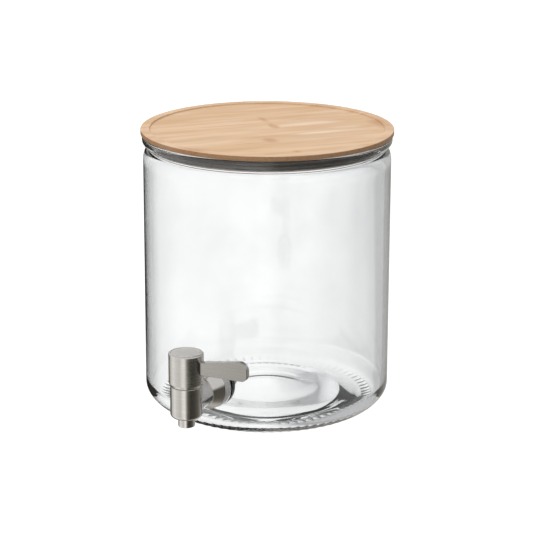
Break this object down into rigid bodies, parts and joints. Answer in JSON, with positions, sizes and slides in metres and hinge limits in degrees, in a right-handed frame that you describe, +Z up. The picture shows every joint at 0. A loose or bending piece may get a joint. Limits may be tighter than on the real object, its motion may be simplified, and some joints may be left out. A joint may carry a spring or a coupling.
{
  "type": "detergent dispenser jar",
  "caption": "Round glass countertop dispenser jar with a lift-off bamboo lid and a metal quarter-turn tap near its base for laundry detergent or other liquids.",
  "frame": {"origin": "jar axis on the resting plane, at the centre of the base's bearing ring", "axes": "+Z up along the jar's axis, the tap points along -Y, the closed lever points along +X"},
  "size_m": [0.1834, 0.2349, 0.2105],
  "materials": {
    "clear_glass": "clear pressed glass",
    "bamboo": "oiled laminated bamboo",
    "clear_silicone": "translucent silicone",
    "satin_nickel": "satin nickel plate",
    "satin_nickel_top": "satin nickel plate, face-turned",
    "white_nylon": "natural moulded nylon",
    "grey_rubber": "moulded seal rubber",
    "steel_hardware": "stainless hardware"
  },
  "bodies": {
    "jar": {"glass_jar": "clear_glass", "tap_body": "satin_nickel", "flange_ring": "satin_nickel", "outer_washer": "clear_silicone", "inner_washer": "clear_silicone", "nut_washer": "white_nylon", "lock_nut": "white_nylon", "threaded_shank": "satin_nickel", "shank_gasket": "grey_rubber", "outlet_nozzle": "satin_nickel", "valve_liner": "white_nylon", "port_seal": "grey_rubber", "thrust_washer": "white_nylon", "retaining_ring": "steel_hardware", "stop_pin": "steel_hardware"},
    "lid": {"bamboo_lid": "bamboo", "lid_seal": "clear_silicone"},
    "handle": {"valve_rotor": "white_nylon", "stem_ring_seals": "grey_rubber", "turning_cap": "satin_nickel", "cap_disc": "satin_nickel_top", "cap_screw": "steel_hardware", "screw_washer": "steel_hardware", "lever": "satin_nickel", "lever_set_screw": "steel_hardware"}
  },
  "joints": [
    {"name": "lid_lift", "type": "slide", "parent": "jar", "child": "lid", "axis": [0, 0, 1], "range_m": [0, 0.06]},
    {"name": "lever_turn", "type": "hinge", "parent": "jar", "child": "handle", "pos_m": [0, -0.131, 0.055], "axis": [0, 0, 1], "range_deg": [-90, 0]}
  ]
}
